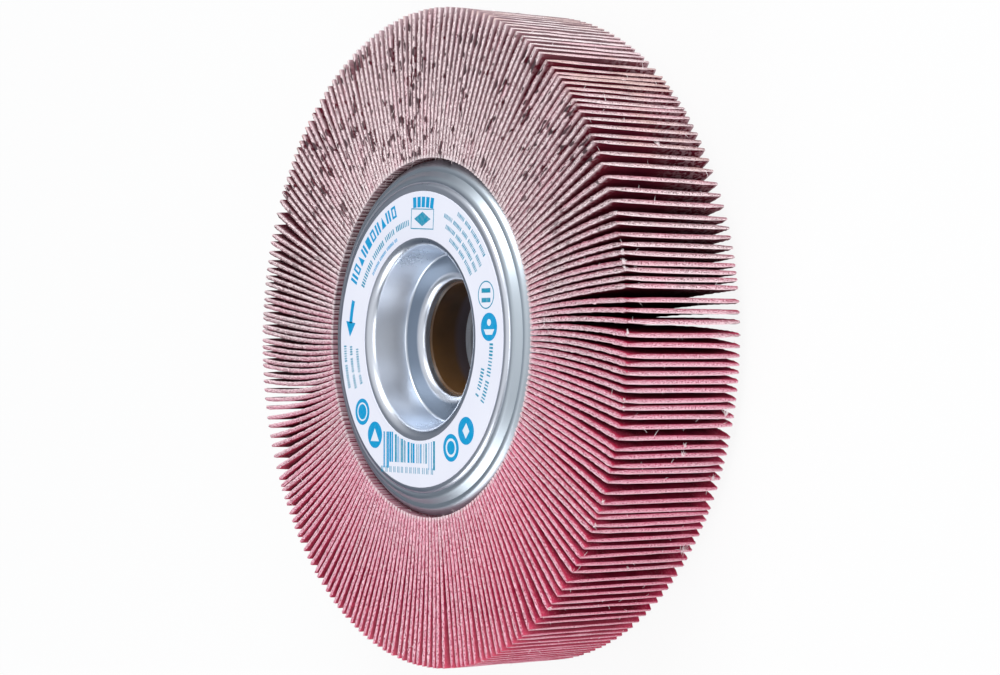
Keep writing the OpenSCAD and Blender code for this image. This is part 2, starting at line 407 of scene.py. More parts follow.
def steel_material():
    """Zinc plated sheet: bright, a little blue, duller outside the bead, with painted shade on the ring
    at the bottom of the recess.
    """
    n = Nodes("zinc_plate")
    tint = (0.76, 0.80, 0.865)
    stains_and_gap_shade = n.noise(70.0, 3.0)
    fine = n.noise(1400.0, 2.0)
    color = n.mix(n.ramp(stains_and_gap_shade, 0.35, 0.7), tint, tuple(0.93 * c for c in tint))
    out = n.axis_distance()
    # Painted shade: a darker, bluer colour on the ring at the bottom of the recess.
    painted_recess_shade = n.times(n.reach(out, 14.6, 15.2), n.reach(out, 19.0, 19.6, 1.0, 0.0))
    color = n.mix(painted_recess_shade, color, (0.28, 0.34, 0.42))
    outer = n.reach(out, 35.2, 36.2)
    color = n.mix(n.times(outer, 0.85), color, (0.50, 0.57, 0.62))
    rough = n.plus(n.ramp(stains_and_gap_shade, 0.3, 0.7, 0.27, 0.33), n.ramp(fine, 0.3, 0.7, -0.01, 0.02))
    rough = n.plus(rough, n.times(outer, 0.08))
    turning = n.node("ShaderNodeTexNoise", noise_dimensions="1D")
    n.link(out, turning.inputs["W"])
    turning.inputs["Scale"].default_value = 4200.0
    height = n.plus(n.times(turning.outputs["Fac"], 0.6), n.times(fine, 0.1))
    return n.surface(color, rough, metallic=1.0, normal=n.bump(height, 0.05, 0.02))


def sleeve_material():
    """Brown sleeve with a slightly glossy skin; lighter low down with painted light, and greyer towards
    the back end with painted shade.
    """
    n = Nodes("sleeve_brown")
    tone = n.noise(160.0, 3.0)
    brown = n.mix(n.ramp(tone, 0.3, 0.7), (0.035, 0.015, 0.005), (0.075, 0.032, 0.009))
    # Painted light: lighter low down in the bore.
    brown = n.mix(n.reach(n.axis("X"), -12, 8, 0.45, 0.0), brown, (0.21, 0.098, 0.024))
    # Painted shade: greyer and cooler towards the back end of the bore.
    far = n.reach(n.axis("Z"), -2.6, -1.2, 0.75, 0.0)
    color = n.mix(far, brown, (0.075, 0.060, 0.080))
    return n.surface(color, n.ramp(tone, 0.3, 0.7, 0.28, 0.42), normal=n.bump(tone, 0.1, 0.1))


def resin_material():
    """Cast resin, seen only in cracks between the flap roots."""
    n = Nodes("cast_resin")
    tone = n.noise(150.0, 3.0)
    color = n.mix(tone, (0.20, 0.11, 0.05), (0.34, 0.20, 0.10))
    return n.surface(color, 0.6, normal=n.bump(tone, 0.3, 0.3))


def paper_material():
    """White label paper with a satin face and a little fibre."""
    n = Nodes("label_paper")
    fibre = n.noise(2600.0, 3.0, 0.65)
    cloud = n.noise(60.0, 2.0)
    color = n.mix(n.ramp(cloud, 0.3, 0.7), (0.77, 0.785, 0.875), (0.81, 0.825, 0.905))
    return n.surface(color, 0.55, normal=n.bump(fibre, 0.08, 0.04))


def ink_material(name, color, worn_and_lit):
    """Printing ink that sinks into the paper a little unevenly."""
    n = Nodes(name)
    spread = n.noise(1500.0, 2.0)
    paler = tuple(c + (0.8 - c) * worn_and_lit for c in color)
    return n.surface(n.mix(n.ramp(spread, 0.42, 0.72), color, paler), 0.5, specular=0.2)


# Mesh helpers


def new_piece(name, vertices, faces, materials, indices=None, nodes=(), smooth_angle=None):
    """A piece from plain lists in millimetres, riding on the body and standing for the nodes."""
    mesh = bpy.data.meshes.new(name)
    points = (np.asarray(vertices, dtype=float) * MM).tolist()
    mesh.from_pydata(points, [], [list(map(int, face)) for face in faces])
    for material in materials:
        mesh.materials.append(material)
    if indices is not None:
        mesh.polygons.foreach_set("material_index", np.asarray(indices, dtype=np.int32))
    mesh.validate()
    if smooth_angle is not None:
        mesh.shade_smooth()
        mesh.set_sharp_from_angle(angle=math.radians(smooth_angle))
    piece = bpy.data.objects.new(name, mesh)
    bpy.context.scene.collection.objects.link(piece)
    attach(piece, BODY)
    if nodes:
        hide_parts(*nodes)
    return piece


def lathe(profile, segments):
    """Closed ring: the closed profile of (radius, height) points turned round Z."""
    profile = np.asarray(profile, dtype=float)
    count = len(profile)
    angles = np.arange(segments) * 2 * math.pi / segments
    x = np.cos(angles)[:, None] * profile[None, :, 0]
    y = np.sin(angles)[:, None] * profile[None, :, 0]
    z = np.broadcast_to(profile[None, :, 1], x.shape)
    vertices = np.stack([x, y, z], axis=-1).reshape(-1, 3)
    faces = []
    for i in range(segments):
        here = i * count
        there = (i + 1) % segments * count
        for k in range(count):
            after = (k + 1) % count
            faces.append((here + k, there + k, there + after, here + after))
    return vertices, faces


# Flaps


def flap_angle(i):
    return PITCH * (i + 0.5) - 180


def tip_turn(i):
    """Angle by which the tip of flap i lies ahead of its root."""
    angles, extra = zip(*COMBING)
    combed = float(np.interp(flap_angle(i), angles, extra))
    first = math.sin(math.radians(FIRST_WAVE * i))
    second = math.cos(math.radians(SECOND_WAVE * i))
    return combed - LEAN + UNEVENNESS * first * second


def tip_side(i):
    """How far the tip of flap i lies beside the line through its root."""
    return WHEEL_R * math.sin(math.radians(tip_turn(i)))


# Stations along a flap, levels across its width and points across a cut edge
STATIONS = 58
SIDE_LEVELS = 8
EDGE_POINTS = 5
EDGE_ROUND = 0.14
# Share of the half thickness where the rounding of a cut edge starts
ROUND_FROM = 0.6
# How much the trimmed corners thin out, and over what distance
CORNER_WEAR = 0.45
CORNER_REACH = 1.3
# How far a flap's tip corners curl to one side, and twist to opposite sides
CURL = 0.16
TWIST = 0.14
# Raggedness of the cuts: outwards on the two faces, sideways, and at the trimmed tips
RAGGED_FACE = 0.07
RAGGED_SIDE = 0.045
RAGGED_TIP = 0.05
# Least distance between the last two stations
TIP_STEP = 0.2
# How far the notched root of a flap reaches into its full width
TAB_OVERLAP = 0.3
FLAP_SEED = 1000
GRIT, BACKING, EDGE, FIBRE = range(4)


def flap_section():
    """Closed outline of a flap across its length: (side, height, material), side from -1 to 1."""
    levels = np.linspace(-HALF_W + EDGE_ROUND, HALF_W - EDGE_ROUND, SIDE_LEVELS)
    across = np.linspace(1, -1, EDGE_POINTS + 2)[1:-1]
    outline = [(1.0, z, GRIT) for z in levels]
    outline += [(s, HALF_W - EDGE_ROUND * (abs(s) > ROUND_FROM), EDGE) for s in across]
    outline += [(-1.0, z, BACKING) for z in levels[::-1]]
    outline += [(s, -HALF_W + EDGE_ROUND * (abs(s) > ROUND_FROM), EDGE) for s in across[::-1]]
    return outline


SECTION = flap_section()
SECTION_SIDE = np.array([point[0] for point in SECTION])
SECTION_Z = np.array([point[1] for point in SECTION])
SECTION_COUNT = len(SECTION)
ON_EDGE = np.abs(SECTION_Z) > HALF_W - 1.01 * EDGE_ROUND
INSIDE_EDGE = np.array([point[2] == EDGE for point in SECTION])


def segment_material(k):
    """Material of the face between outline points k and k + 1."""
    a = SECTION[k][2]
    b = SECTION[(k + 1) % SECTION_COUNT][2]
    return a if a == b else EDGE


SECTION_MATERIALS = [segment_material(k) for k in range(SECTION_COUNT)]


def cap_faces(start, backwards):
    """Faces across the end of a flap, between the two sides level by level."""
    top = [start + k for k in range(SIDE_LEVELS)]
    back = [start + SIDE_LEVELS + EDGE_POINTS + k for k in range(SIDE_LEVELS)][::-1]
    upper = [start + SIDE_LEVELS + k for k in range(EDGE_POINTS)]
    lower = [start + 2 * SIDE_LEVELS + EDGE_POINTS + k for k in range(EDGE_POINTS)]
    faces = [(top[k], top[k + 1], back[k + 1], back[k]) for k in range(SIDE_LEVELS - 1)]
    faces.append((top[-1], *upper, back[-1]))
    faces.append((back[0], *lower, top[0]))
    if backwards:
        faces = [face[::-1] for face in faces]
    return faces


def flap_faces():
    """Faces and their materials, the same for every flap."""
    faces = []
    indices = []
    for s in range(STATIONS - 1):
        here = s * SECTION_COUNT
        there = here + SECTION_COUNT
        for k in range(SECTION_COUNT):
            after = (k + 1) % SECTION_COUNT
            faces.append((here + k, here + after, there + after, there + k))
            indices.append(SECTION_MATERIALS[k])
    ends = cap_faces(0, True) + cap_faces((STATIONS - 1) * SECTION_COUNT, False)
    return faces + ends, indices + [EDGE] * len(ends)


FLAP_FACES, FLAP_MATERIALS = flap_faces()


def flap_grid(i, rng):
    """Coordinates of flap i before it is turned to its angle: a row for each station."""
    x = np.linspace(NOTCH_R, WHEEL_R, STATIONS)
    bent = np.clip((x - BEND_R) / (WHEEL_R - BEND_R), 0, None)
    centre = tip_side(i) * bent**FLAP_CURVE
    # The cloth isn't quite flat: its corners curl a little, each flap in its own way
    curl = rng.uniform(-CURL, CURL)
    twist = rng.uniform(-TWIST, TWIST)
    level = SECTION_Z / HALF_W
    wander = bent[:, None] ** 1.5 * (curl * level**2 + twist * level)
    near_tip = np.clip(1 - (WHEEL_R - x) / CORNER_REACH, 0, 1)
    near_side = np.clip(1 - (HALF_W - np.abs(SECTION_Z)) / CORNER_REACH, 0, 1)
    thickness = FLAP_T * (1 - CORNER_WEAR * near_tip[:, None] * near_side)
    px = np.tile(x[:, None], SECTION_COUNT)
    py = centre[:, None] + SECTION_SIDE * thickness / 2 + wander
    pz = np.tile(SECTION_Z, (STATIONS, 1))
    pz = pz + RAGGED_FACE * rng.normal(0, 1, pz.shape) * INSIDE_EDGE
    py = py + RAGGED_SIDE * rng.normal(0, 1, py.shape) * ON_EDGE
    tip_x = np.sqrt(WHEEL_R**2 - py[-1] ** 2) + rng.normal(0, RAGGED_TIP, SECTION_COUNT)
    px[-1] = np.minimum(tip_x, WHEEL_R)
    px[-2] = np.minimum(px[-2], px[-1] - TIP_STEP)
    return px, py, pz


def cloth_places(i, px, pz):
    """Place of each point in the cut edge: distance out, share across, flap."""
    # The tip's cut edge runs on along Z, so its place along the edge is told by the height
    along = px.copy()
    along[-1] = WHEEL_R + HALF_W - pz[-1]
    side = np.tile(SECTION_SIDE, (STATIONS, 1))
    return np.stack([along, side, np.full_like(along, i)], axis=-1).reshape(-1, 3)


def box_mesh(low, high):
    """A plain tab: eight corners and six faces."""
    (x0, y0, z0), (x1, y1, z1) = low, high
    vertices = [(x, y, z) for z in (z0, z1) for y in (y0, y1) for x in (x0, x1)]
    faces = [(0, 2, 3, 1), (4, 5, 7, 6), (0, 1, 5, 4), (2, 6, 7, 3), (0, 4, 6, 2), (1, 3, 7, 5)]
    return vertices, faces


# Loose threads: sides and steps of the tube, and how much it tapers
THREAD_SIDES = 3
THREAD_STEPS = 3
THREAD_TAPER = 0.75
# Fewest loose threads of a flap, and the number that it stays below
FEWEST_THREADS = 5
THREADS_BELOW = 11
# Shares of them at its tip and at its root; the others are on its faces
TIP_SHARE = 0.45
ROOT_SHARE = 0.15
# How deep in the cloth a thread starts, and how far beside the cloth's middle at most
THREAD_DEPTH = 0.15
THREAD_BESIDE = 0.4
THREAD_SHORTEST = 0.25
THREAD_LONGEST = 2.4
# Mean of what a thread is longer than the shortest
THREAD_EXTRA = 0.45
THREAD_RADII = (0.045, 0.085)
# Larger tufts: threads in each, their spread, and the share of the tuft's length that they reach
TUFT_THREADS = 18
TUFT_SPREAD = 0.30
TUFT_SHARES = (0.6, 1.2)
TUFT_RADII = (0.055, 0.10)


def fibre_mesh(start, way, length, radius, droop, rng):
    """A loose thread as a thin tube that tapers and bends."""
    side = np.cross(way, rng.normal(0, 1, 3))
    side /= np.linalg.norm(side)
    up = np.cross(way, side)
    vertices = []
    for k in range(THREAD_STEPS + 1):
        along = k / THREAD_STEPS
        middle = start + way * length * along + side * droop * along**2
        size = radius * (1 - THREAD_TAPER * along)
        for corner in range(THREAD_SIDES):
            turn = 2 * math.pi * corner / THREAD_SIDES
            vertices.append(middle + size * (math.cos(turn) * side + math.sin(turn) * up))
    last = THREAD_STEPS * THREAD_SIDES
    faces = [(2, 1, 0), (last, last + 1, last + 2)]
    for k in range(THREAD_STEPS):
        here = THREAD_SIDES * k
        there = here + THREAD_SIDES
        for corner in range(THREAD_SIDES):
            after = (corner + 1) % THREAD_SIDES
            faces.append((here + corner, here + after, there + after, there + corner))
    return vertices, faces


def flap_fibres(i, rng):
    """Loose threads on the cut edges of flap i, in the flap's own frame."""
    found = []
    for _ in range(rng.integers(FEWEST_THREADS, THREADS_BELOW)):
        side = rng.choice([-1, 1])
        place = rng.random()
        if place < TIP_SHARE:
            x = WHEEL_R - THREAD_DEPTH
            z = rng.uniform(-HALF_W, HALF_W)
            way = np.array([0.25, rng.normal(0, 1.0), rng.normal(0, 0.7)])
        elif place < 1 - ROOT_SHARE:
            x = rng.uniform(NOTCH_R + 1, WHEEL_R - 1)
            z = side * (HALF_W - 0.05)
            way = np.array([rng.normal(0, 0.9), rng.normal(0, 0.8), side * 0.35])
        else:
            x = NOTCH_R + 0.1
            z = side * rng.uniform(NOTCH_Z + 0.3, HALF_W)
            way = np.array([-0.8, rng.normal(0, 0.5), side * 0.5])
        bent = max(0.0, (x - BEND_R) / (WHEEL_R - BEND_R))
        y = tip_side(i) * bent**FLAP_CURVE + rng.uniform(-THREAD_BESIDE, THREAD_BESIDE)
        x = min(x, math.sqrt(WHEEL_R**2 - y**2) - 0.1)
        way /= np.linalg.norm(way)
        length = min(rng.exponential(THREAD_EXTRA) + THREAD_SHORTEST, THREAD_LONGEST)
        found.append((np.array([x, y, z]), way, length, rng.uniform(*THREAD_RADII)))
    return found


# Where the tufts are: angle round the wheel, height, and length of the threads
TUFTS = [
    (-109.0, -3.0, 1.1),
    (-103.2, -12.5, 2.2),
    (-114.0, -12.8, 1.3),
    (-127.7, -12.0, 2.4),
    (-58.5, -2.2, 1.0),
    (-65.5, -2.8, 1.3),
    (-78.0, 14.9, 0.8),
    (-79.5, 14.8, 0.7),
    (-90.2, 14.9, 0.9),
    (-140.2, 14.8, 0.7),
    (-117.5, 14.9, 0.7),
    (-122.0, 14.8, 0.6),
    (-101.0, 14.9, 0.5),
    (-70.0, 14.8, 0.5),
    (-131.0, 0.5, 0.7),
]


def tuft_threads(i, rng):
    """Bundles of longer threads at the trimmed edge of flap i."""
    at_tip = tip_side(i)
    found = []
    for angle, z, length in TUFTS:
        if abs(flap_angle(i) + tip_turn(i) - angle) > PITCH / 2:
            continue
        on_face = z > HALF_W - 1
        lead = np.array([0.45, 0.75, 0.1 if on_face else 0.25])
        for _ in range(TUFT_THREADS):
            way = lead + rng.normal(0, TUFT_SPREAD, 3)
            way /= np.linalg.norm(way)
            x = math.sqrt(WHEEL_R**2 - at_tip**2) - THREAD_DEPTH
            start = np.array([x, at_tip + rng.uniform(-0.35, 0.35), z + rng.uniform(-0.35, 0.1)])
            reach = length * rng.uniform(*TUFT_SHARES)
            found.append((start, way, reach, rng.uniform(*TUFT_RADII)))
    return found


def add_mesh(store, vertices, faces, indices, cloth=None):
    """Adds a closed island to the lists of a piece."""
    first = sum(len(block) for block in store["vertices"])
    store["vertices"].append(np.asarray(vertices, dtype=float))
    store["cloth"].append(np.asarray(vertices, dtype=float) if cloth is None else cloth)
    store["faces"] += [tuple(first + v for v in face) for face in faces]
    store["indices"] += list(indices)


def turn_about_axis(vertices, degrees):
    turn = math.radians(degrees)
    c, s = math.cos(turn), math.sin(turn)
    v = np.asarray(vertices, dtype=float)
    return np.stack([c * v[:, 0] - s * v[:, 1], s * v[:, 0] + c * v[:, 1], v[:, 2]], axis=-1)


def flap_group(group, materials):
    """One sector of flaps, standing for one node of the frame."""
    first = math.ceil(group * FLAP_COUNT / FLAP_GROUPS)
    last = math.ceil((group + 1) * FLAP_COUNT / FLAP_GROUPS)
    store = {"vertices": [], "faces": [], "indices": [], "cloth": []}
    half_t = FLAP_T / 2
    tab, tab_faces = box_mesh((ROOT_R, -half_t, -NOTCH_Z), (NOTCH_R + TAB_OVERLAP, half_t, NOTCH_Z))
    tab_materials = [EDGE, EDGE, BACKING, GRIT, EDGE, EDGE]
    for i in range(first, last):
        rng = np.random.default_rng(FLAP_SEED + i)
        angle = flap_angle(i)
        px, py, pz = flap_grid(i, rng)
        flap = turn_about_axis(np.stack([px, py, pz], axis=-1).reshape(-1, 3), angle)
        add_mesh(store, flap, FLAP_FACES, FLAP_MATERIALS, cloth_places(i, px, pz))
        add_mesh(store, turn_about_axis(tab, angle), tab_faces, tab_materials)
        for start, way, length, radius in flap_fibres(i, rng) + tuft_threads(i, rng):
            droop = rng.normal(0, 0.25) * length
            fibre, fibre_faces = fibre_mesh(start, way, length, radius, droop, rng)
            add_mesh(store, turn_about_axis(fibre, angle), fibre_faces, [FIBRE] * len(fibre_faces))
    node = f"flaps_{group + 1:02d}"
    piece = new_piece(
        f"abrasive_{node}",
        np.concatenate(store["vertices"]),
        store["faces"],
        materials,
        store["indices"],
        nodes=[node],
        smooth_angle=50,
    )
    places = piece.data.attributes.new("cloth", "FLOAT_VECTOR", "POINT")
    places.data.foreach_set("vector", np.concatenate(store["cloth"]).ravel())
    return piece


# Pressed flanges

# Corners of the middle of the sheet from the bore to the rim: radius, height, bend radius
SEAT_Z = SEAT_TOP - SHEET_T / 2
RIM_CORNER = SHEET_T / 2 * math.sin(math.radians(45))
FLANGE_CORNERS = [
    (COLLAR_R, SLEEVE_HALF + FIT, 0),
    (COLLAR_R, RING_Z, COLLAR_BEND),
    (RING_R, RING_Z, COLLAR_BEND),
    (RECESS_R, SEAT_Z, SHOULDER_BEND),
    (SEAT_R, SEAT_Z, RIM_BEND),
    (SEAT_R + GROOVE_DEPTH / 2, SEAT_Z - GROOVE_DEPTH, RIM_BEND),
    (BEAD_R, SEAT_Z - BEAD_DROP, BEAD_BEND),
    (FOOT_R, SEAT_Z - FOOT_DROP, RIM_BEND),
    (FOOT_R + FOOT_W, SEAT_Z - FOOT_DROP, RIM_BEND),
    (FLANGE_R - RIM_CORNER, NOTCH_Z + RIM_CORNER + FIT, 0),
]
BEND_STEPS = 10
FLANGE_SEGMENTS = 240
SLEEVE_SEGMENTS = 160


def unit(v):
    return v / np.linalg.norm(v)


def left_of(v):
    return np.array([-v[1], v[0]])


def sheet_run(corners):
    """Points along the middle of the bent sheet, each with the direction to its left."""
    flat = [np.array(corner[:2]) for corner in corners]
    run = [(flat[0], left_of(unit(flat[1] - flat[0])))]
    for i in range(1, len(flat) - 1):
        a, b, c = flat[i - 1 : i + 2]
        u = unit(a - b)
        v = unit(c - b)
        radius = corners[i][2]
        half = math.acos(float(u @ v)) / 2
        centre = b + unit(u + v) * radius / math.sin(half)
        turn = math.copysign(1, (b - a)[0] * (c - b)[1] - (b - a)[1] * (c - b)[0])
        start = left_of(unit(b - a))
        start_angle = math.atan2(start[1], start[0])
        for k in range(BEND_STEPS + 1):
            angle = start_angle + turn * (math.pi - 2 * half) * k / BEND_STEPS
            normal = np.array([math.cos(angle), math.sin(angle)])
            run.append((centre - turn * radius * normal, normal))
    run.append((flat[-1], left_of(unit(flat[-1] - flat[-2]))))
    return run


def flange_piece(node, side, material):
    """One flange; side is 1 for the front and -1 for the back."""
    run = sheet_run(FLANGE_CORNERS)
    outside = [point + normal * SHEET_T / 2 for point, normal in run]
    inside = [point - normal * SHEET_T / 2 for point, normal in run]
    profile = np.array(outside + inside[::-1])
    profile[:, 1] *= side
    if side < 0:
        profile = profile[::-1]
    vertices, faces = lathe(profile, FLANGE_SEGMENTS)
    return new_piece(
        f"pressed_{node}",
        vertices,
        faces,
        [material],
        nodes=[node],
        smooth_angle=40,
    )


def sleeve_piece(material):
    half = SLEEVE_HALF
    profile = [
        (BORE_R, -half + SLEEVE_BEVEL),
        (BORE_R + SLEEVE_BEVEL, -half),
        (SLEEVE_R, -half),
        (SLEEVE_R, half),
        (BORE_R + SLEEVE_BEVEL, half),
        (BORE_R, half - SLEEVE_BEVEL),
    ]
    vertices, faces = lathe(profile[::-1], SLEEVE_SEGMENTS)
    return new_piece(
        "bore_sleeve",
        vertices,
        faces,
        [material],
        nodes=["core_sleeve"],
        smooth_angle=30,
    )


# Label

LABEL_TOP = SEAT_TOP + LABEL_T
LABEL_EDGE = 0.04
# How far the printed plates reach into the paper
INK_SUNK = 0.01
# Points round a printed disc or ring
ROUND_POINTS = 36
LABEL_SEED = 7


def label_piece(material):
    """Paper ring with softened edges."""
    profile = [
        (LABEL_HOLE_R, SEAT_TOP),
        (LABEL_R, SEAT_TOP),
        (LABEL_R, LABEL_TOP - LABEL_EDGE),
        (LABEL_R - LABEL_EDGE, LABEL_TOP),
        (LABEL_HOLE_R + LABEL_EDGE, LABEL_TOP),
        (LABEL_HOLE_R, LABEL_TOP - LABEL_EDGE),
    ]
    vertices, faces = lathe(profile, FLANGE_SEGMENTS)
    vertices[:, 0] -= LABEL_SHIFT
    return new_piece(
        "paper_label",
        vertices,
        faces,
        [material],
        nodes=["label"],
        smooth_angle=30,
    )


class Print:
    """Flat printed shapes on the label, in its own polar frame: radius in mm, angle from the top."""

    def __init__(self, lift):
        self.lift = lift
        self.vertices = []
        self.faces = []

    def shape(self, outline):
        """A closed outline of (x, y) points as a very thin plate."""
        first = len(self.vertices)
        count = len(outline)
        area = 0
        for (x0, y0), (x1, y1) in zip(outline, outline[1:] + outline[:1]):
            area += x0 * y1 - x1 * y0
        if area < 0:
            outline = outline[::-1]
        for z in (LABEL_TOP - INK_SUNK, LABEL_TOP + self.lift):
            self.vertices += [(x - LABEL_SHIFT, y, z) for x, y in outline]
        self.faces.append(tuple(first + count + k for k in range(count)))
        self.faces.append(tuple(first + k for k in reversed(range(count))))
        for k in range(count):
            after = (k + 1) % count
            self.faces.append((first + k, first + after, first + count + after, first + count + k))

    def polar(self, r, angle):
        turn = math.radians(angle)
        return r * math.cos(turn), r * math.sin(turn)

    def sign(self, r, angle, points):
        """A small shape that stands upright on a circle: points run clockwise and outwards."""
        cx, cy = self.polar(r, angle)
        turn = math.radians(angle)
        c, s = math.cos(turn), math.sin(turn)
        self.shape([(cx + v * c + u * s, cy + v * s - u * c) for u, v in points])

    def bar(self, r, angle, u0, u1, v0, v1):
        self.sign(r, angle, [(u0, v0), (u1, v0), (u1, v1), (u0, v1)])

    def frame(self, r, angle, width, height, line):
        """A plain square outline."""
        self.bar(r, angle, -width / 2, width / 2, 0, line)
        self.bar(r, angle, -width / 2, width / 2, height - line, height)
        self.bar(r, angle, -width / 2, -width / 2 + line, line, height - line)
        self.bar(r, angle, width / 2 - line, width / 2, line, height - line)

    def patch(self, r0, r1, a0, a1):
        """Part of a ring between two radii and two angles."""
        steps = max(1, round(abs(a1 - a0) / 3))
        angles = [a0 + (a1 - a0) * k / steps for k in range(steps + 1)]
        self.shape([self.polar(r0, a) for a in reversed(angles)] + [self.polar(r1, a) for a in angles])

    def disc(self, place, size):
        cx, cy = place
        turns = [2 * math.pi * k / ROUND_POINTS for k in range(ROUND_POINTS)]
        self.shape([(cx + size * math.cos(turn), cy + size * math.sin(turn)) for turn in turns])

    def ring(self, place, size, width):
        """A ring as a row of short plates, each a quad."""
        cx, cy = place
        inner = size - width
        turns = [2 * math.pi * k / ROUND_POINTS for k in range(ROUND_POINTS + 1)]
        for a, b in zip(turns, turns[1:]):
            corners = ((inner, a), (size, a), (size, b), (inner, b))
            self.shape([(cx + r * math.cos(turn), cy + r * math.sin(turn)) for r, turn in corners])

    def signs(self, r, height, start, end, kinds):
        """A heading of plain frames, wedges, blocks and pairs of bars."""
        line = height * 0.19
        stroke = line * 1.3
        wide = height * 0.66
        for k, kind in enumerate(kinds):
            angle = start + (end - start) * (k + 0.5) / len(kinds)
            if kind == "frame":
                self.frame(r, angle, wide, height, line)
            elif kind == "bars":
                self.bar(r, angle, -wide / 2, -wide / 2 + stroke, 0, height)
                self.bar(r, angle, wide / 2 - stroke, wide / 2, 0, height)
            elif kind == "block":
                self.bar(r, angle, -wide / 2, wide / 2, 0, height)
            else:
                self.sign(r, angle, [(-wide / 2, 0), (wide / 2, 0), (0, height)])

    def ticks(self, r, height, start, end, rng):
        """A line of short strokes in groups, where the label has small print."""
        step = math.degrees(height * 0.42 / r)
        count = int(abs(end - start) // step)
        left = int(rng.integers(5, 12))
        for k in range(count):
            left -= 1
            if left == 0:
                left = int(rng.integers(5, 12))
                continue
            angle = start + (end - start) * (k + 0.5) / count
            thin = height * rng.uniform(0.09, 0.15)
            self.bar(r, angle, -thin, thin, 0, height * 0.8)

    def piece(self, name, material):
        return new_piece(name, self.vertices, self.faces, [material])


# Lines of small print: radius, height, and the angles where they start and end
UPPER_RIGHT_LINES = [
    (31.6, 1.2, -30.0, -56.0),
    (29.2, 1.2, -21.0, -58.0),
    (27.1, 1.2, -24.0, -58.0),
    (25.1, 1.2, -30.0, -57.0),
]
LOWER_LINES = [
    (28.6, 1.7, -92.0, -119.0),
    (26.2, 1.6, -104.0, -118.5),
    (31.2, 1.3, 92.0, 112.0),
    (28.6, 1.3, 92.5, 113.0),
    (25.9, 1.3, 94.0, 113.0),
]
# Centres of the round signs in X and Y, and their radius
RING_SIGN = (9.45, -27.2)
DISC_SIGNS = [(2.43, -28.36), (-16.83, 23.92), (-22.12, 18.37), (-24.34, -13.51), (-20.43, -19.46)]
SIGN_R = 3.1
# Plain bars at the bottom, counted in Y: all of them, and the shorter ones in their middle
BARS_START = 14.6
BARS_END = -7.6
SHORT_START = 12.5
SHORT_END = -4.0
# Their ends in X; the upper ends keep clear of the hole, and run on a little from there
LONG_LOW = -29.6
SHORT_LOW = -28.2
BAR_HIGH = -21.6
BAR_CLEAR_R = 24.2
BAR_RUN_ON = 0.35
BAR_WIDTHS = [0.18, 0.25, 0.4, 0.55, 0.8]
BAR_GAPS = [0.22, 0.35, 0.55, 0.8]
# The row of strokes under the bars
STROKES_START = 15.6
STROKES_END = -6.8
STROKE_LOW = -30.6
STROKE_LENGTH = 1.4
STROKE_T = 0.24


def print_heading(strong, fine, rng):
    """Five blocks over a frame with a diamond at the top, and the heading to their left."""
    for place in (2.6, -0.7, -4.0, -7.3, -10.6):
        strong.bar(30.0, place, -0.68, 0.68, 0, 2.4)
    fine.frame(25.0, -3.6, 9.4, 4.7, 0.22)
    fine.sign(25.0, -3.6, [(-3.4, 2.35), (0, 0.7), (3.4, 2.35), (0, 4.0)])
    kinds = ("bars", "frame", "wedge", "bars", "block", "frame", "bars", "wedge", "bars", "frame")
    strong.signs(29.7, 2.8, 64.5, 17.0, kinds)
    fine.ticks(26.3, 1.7, 62.5, 8.0, rng)
    strong.ticks(24.3, 0.95, 52.0, 21.0, rng)


def print_round_signs(strong, fine, clear):
    """A ring with two bars, and discs, each with a plain clear shape."""
    fine.ring(RING_SIGN, SIGN_R, 0.28)
    x, y = RING_SIGN
    for low, high in ((0.45, 1.45), (-1.65, -0.65)):
        fine.shape([(x + low, y - 1.7), (x + low, y + 1.7), (x + high, y + 1.7), (x + high, y - 1.7)])
    for place in DISC_SIGNS:
        strong.disc(place, SIGN_R)
    clear.disc((3.4, -28.4), 0.75)
    clear.shape([(1.9, -30.4), (1.9, -26.4), (0.7, -27.2), (0.7, -29.6)])
    clear.ring(DISC_SIGNS[1], 2.2, 0.4)
    clear.shape([(-20.6, 18.4), (-23.6, 20.2), (-23.6, 16.6)])
    clear.ring(DISC_SIGNS[3], 2.1, 0.55)
    clear.shape([(-18.7, -19.6), (-20.4, -18.1), (-22.2, -19.4), (-20.5, -20.8)])


def print_arrow(strong):
    """Arrow for the direction of rotation."""
    strong.patch(28.85, 30.15, 71.5, 82.0)
    strong.shape([strong.polar(27.4, 81.5), strong.polar(31.6, 81.5), strong.polar(29.6, 88.3)])


def print_bars(strong, fine, rng):
    """Plain bars at the bottom, longer at both ends, with a row of strokes under them."""
    y = BARS_START
    while y > BARS_END:
        width = float(rng.choice(BAR_WIDTHS))
        low = SHORT_LOW if SHORT_END < y < SHORT_START else LONG_LOW
        high = min(BAR_HIGH, -math.sqrt(BAR_CLEAR_R**2 - y * y)) + BAR_RUN_ON
        chosen = strong if rng.random() < 0.5 else fine
        chosen.shape([(low, y - width), (high, y - width), (high, y), (low, y)])
        y -= width + float(rng.choice(BAR_GAPS))
    low = STROKE_LOW
    high = low + STROKE_LENGTH
    y = STROKES_START
    while y > STROKES_END:
        for left in (y, y - float(rng.choice([0.55, 0.7]))):
            right = left - STROKE_T
            fine.shape([(low, right), (high, right), (high, left), (low, left)])
        y -= float(rng.choice([1.5, 1.7, 1.9]))


